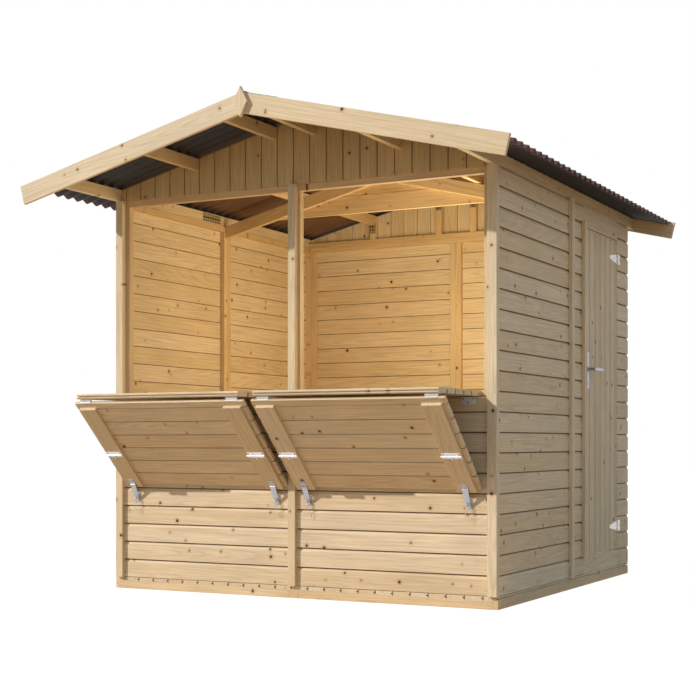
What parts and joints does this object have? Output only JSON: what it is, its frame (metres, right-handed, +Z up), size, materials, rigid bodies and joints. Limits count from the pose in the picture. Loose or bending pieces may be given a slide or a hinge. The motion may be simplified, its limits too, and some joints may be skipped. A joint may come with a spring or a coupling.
{
  "type": "market stall",
  "caption": "Timber market stall with a corrugated saddle roof, two serving openings with folded-out counters on sloping props, and a hinged side door.",
  "frame": {"origin": "middle of the wall footprint, on the underside of the middle floor joists, at ground level", "axes": "+X to the viewer's right when facing the serving front, +Y from the serving front to the rear, +Z up"},
  "size_m": [2.5182, 2.6, 2.3022],
  "materials": {
    "spruce_boards": "planed, untreated",
    "frame_timber": "planed, untreated",
    "roof_sheet": "matt bitumen-soaked fibre",
    "zinc_fittings": "bright zinc plate",
    "door_furniture": "satin"
  },
  "bodies": {
    "stall": {"floor_joists": "frame_timber", "floor_end_boards": "frame_timber", "floor_boards": "spruce_boards", "front_wall_left": "spruce_boards", "front_wall_right": "spruce_boards", "front_posts": "frame_timber", "front_rails": "frame_timber", "counter_sills": "frame_timber", "left_wall": "spruce_boards", "left_wall_studs": "frame_timber", "right_wall": "spruce_boards", "right_wall_sill": "spruce_boards", "right_wall_head": "spruce_boards", "right_wall_studs": "frame_timber", "rear_wall": "spruce_boards", "rear_wall_studs": "frame_timber", "wall_rails": "frame_timber", "cover_strips": "spruce_boards", "front_gable": "spruce_boards", "rear_gable": "spruce_boards", "gable_rails": "frame_timber", "gable_studs": "frame_timber", "top_purlins": "frame_timber", "middle_purlins": "frame_timber", "eave_purlins": "frame_timber", "truss_rafters": "frame_timber", "truss_ties": "frame_timber", "roof_left": "roof_sheet", "roof_right": "roof_sheet", "ridge_cap": "roof_sheet", "front_bargeboards": "spruce_boards", "rear_bargeboards": "spruce_boards", "apex_diamond": "spruce_boards", "counter_left": "spruce_boards", "counter_right": "spruce_boards", "prop_left": "spruce_boards", "prop_right": "spruce_boards", "prop_battens": "spruce_boards", "counter_hinges": "zinc_fittings", "prop_bolts": "zinc_fittings", "prop_hasps": "zinc_fittings", "door_hinge_plates": "zinc_fittings"},
    "door": {"door_leaf": "spruce_boards", "door_ledges": "frame_timber", "door_straps": "zinc_fittings", "door_handle": "door_furniture"}
  },
  "joints": [
    {"name": "door_hinge", "type": "hinge", "parent": "stall", "child": "door", "pos_m": [1.036, 0.777, 1], "axis": [0, 0, 1], "range_deg": [0, 165]}
  ]
}
